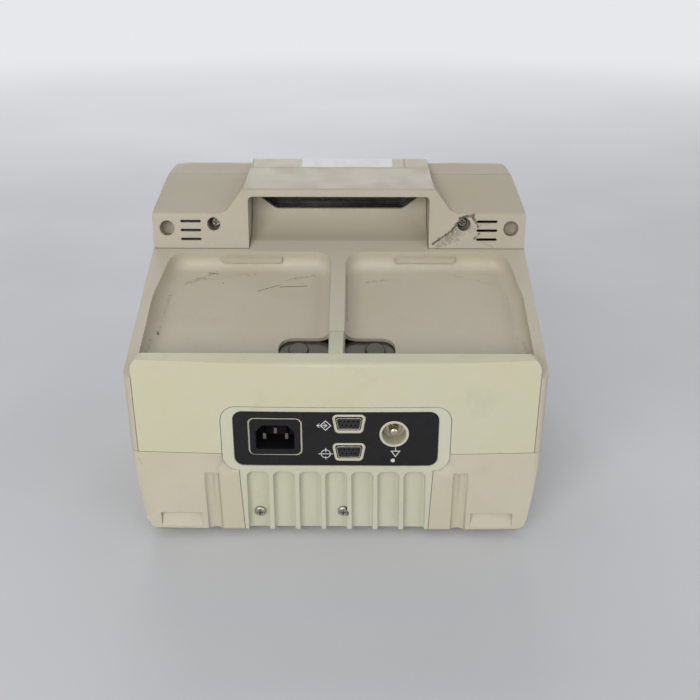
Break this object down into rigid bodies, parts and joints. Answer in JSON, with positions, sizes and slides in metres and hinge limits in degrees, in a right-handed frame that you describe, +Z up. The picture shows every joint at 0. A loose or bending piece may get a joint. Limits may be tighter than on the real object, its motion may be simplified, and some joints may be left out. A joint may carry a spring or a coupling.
{
  "type": "defibrillator",
  "caption": "Hospital defibrillator monitor with a sloping rear deck of two paddle trays, a carrying bar and a finned mains connector panel.",
  "frame": {"origin": "centre of the bounding box in plan, at the underside of the rubber feet", "axes": "+Z up, -Y towards the operator's sloping front, +Y towards the rear face with the mains inlet"},
  "size_m": [0.262, 0.262, 0.2124],
  "materials": {
    "housing": "matt",
    "cover": "matt",
    "panel": "matt",
    "label": "satin",
    "black_plastic": "satin",
    "socket_grey": "satin",
    "white_plastic": "satin",
    "scale_plate": "satin",
    "rubber": "matt",
    "steel": "brushed",
    "plated_brass": "polished",
    "clear_window": "gloss",
    "lamp_lens": "gloss",
    "board": "satin",
    "battery_case": "satin",
    "capacitor_can": "satin",
    "winding": "satin",
    "relay_case": "satin",
    "chart_paper": "matt",
    "grey_key": "matt",
    "yellow_key": "matt",
    "red_key": "matt"
  },
  "bodies": {
    "base": {"lower_housing": "housing", "upper_housing": "housing", "grip_ramp": "housing", "rear_cover": "cover", "handle_housing": "housing", "handle_well": "black_plastic", "front_housing": "housing", "connector_panel": "panel", "connector_label": "label", "mains_inlet": "black_plastic", "mains_inlet_pins": "steel", "data_port_shells": "steel", "data_port_inserts": "black_plastic", "equipotential_cup": "white_plastic", "equipotential_pin": "plated_brass", "panel_screws": "steel", "test_contact_left": "steel", "test_contact_right": "steel", "handle_screws": "steel", "case_screws": "steel", "rubber_feet": "rubber", "foot_screws": "steel", "speaker": "steel", "display_window": "clear_window", "lcd_module": "steel", "dial_scale": "scale_plate", "dial_switch": "black_plastic", "key_board": "board", "indicator_lenses": "lamp_lens", "therapy_socket": "black_plastic", "therapy_contacts": "plated_brass", "ecg_socket": "socket_grey", "ecg_contacts": "plated_brass", "printer_frame": "black_plastic", "printer_hinge_pin": "steel", "print_head": "board", "chassis": "steel", "chassis_screws": "steel", "battery_pack": "battery_case", "battery_bracket": "black_plastic", "power_board": "board", "storage_capacitor": "capacitor_can", "capacitor_clamps": "steel", "discharge_inductor": "winding", "transfer_relay": "relay_case", "main_board": "board"},
    "dial": {"energy_dial": "black_plastic", "dial_shaft": "steel"},
    "lead_key": {"lead_key": "grey_key"},
    "size_key": {"size_key": "grey_key"},
    "alarm_key": {"alarm_key": "grey_key"},
    "menu_key": {"menu_key": "grey_key"},
    "event_key": {"event_key": "grey_key"},
    "print_key": {"print_key": "grey_key"},
    "sync_key": {"sync_key": "grey_key"},
    "charge_key": {"charge_key": "yellow_key"},
    "shock_key": {"shock_key": "red_key"},
    "door": {"printer_door": "housing"},
    "roll": {"paper_roll": "chart_paper"},
    "platen": {"platen_roller": "rubber"}
  },
  "joints": [
    {"name": "dial_turn", "type": "hinge", "parent": "base", "child": "dial", "pos_m": [0.08, -0.07482, 0.15801], "axis": [0, 0.8988, -0.4383], "range_deg": [0, 300]},
    {"name": "lead_key_press", "type": "slide", "parent": "base", "child": "lead_key", "axis": [0, 0.8988, -0.4383], "range_m": [0, 0.0008], "stiffness_N_per_m": 500, "springref_m": -0.001},
    {"name": "size_key_press", "type": "slide", "parent": "base", "child": "size_key", "axis": [0, 0.8988, -0.4383], "range_m": [0, 0.0008], "stiffness_N_per_m": 500, "springref_m": -0.001},
    {"name": "alarm_key_press", "type": "slide", "parent": "base", "child": "alarm_key", "axis": [0, 0.8988, -0.4383], "range_m": [0, 0.0008], "stiffness_N_per_m": 500, "springref_m": -0.001},
    {"name": "menu_key_press", "type": "slide", "parent": "base", "child": "menu_key", "axis": [0, 0.8988, -0.4383], "range_m": [0, 0.0008], "stiffness_N_per_m": 500, "springref_m": -0.001},
    {"name": "event_key_press", "type": "slide", "parent": "base", "child": "event_key", "axis": [0, 0.8988, -0.4383], "range_m": [0, 0.0008], "stiffness_N_per_m": 500, "springref_m": -0.001},
    {"name": "print_key_press", "type": "slide", "parent": "base", "child": "print_key", "axis": [0, 0.8988, -0.4383], "range_m": [0, 0.0008], "stiffness_N_per_m": 500, "springref_m": -0.001},
    {"name": "sync_key_press", "type": "slide", "parent": "base", "child": "sync_key", "axis": [0, 0.8988, -0.4383], "range_m": [0, 0.0008], "stiffness_N_per_m": 500, "springref_m": -0.001},
    {"name": "charge_key_press", "type": "slide", "parent": "base", "child": "charge_key", "axis": [0, 0.8988, -0.4383], "range_m": [0, 0.0008], "stiffness_N_per_m": 800, "springref_m": -0.001},
    {"name": "shock_key_press", "type": "slide", "parent": "base", "child": "shock_key", "axis": [0, 0.8988, -0.4383], "range_m": [0, 0.0008], "stiffness_N_per_m": 800, "springref_m": -0.001},
    {"name": "door_hinge", "type": "hinge", "parent": "base", "child": "door", "pos_m": [0.076, -0.12091, 0.05254], "axis": [1, 0, 0], "range_deg": [0, 90]},
    {"name": "roll_turn", "type": "hinge", "parent": "base", "child": "roll", "pos_m": [0.076, -0.09418, 0.05898], "axis": [1, 0, 0], "continuous": true},
    {"name": "platen_turn", "type": "hinge", "parent": "base", "child": "platen", "pos_m": [0.076, -0.09956, 0.08218], "axis": [1, 0, 0], "continuous": true}
  ],
  "couplings": [
    {"joint": "platen_turn", "follows": "roll_turn", "ratio": 3.7778}
  ]
}
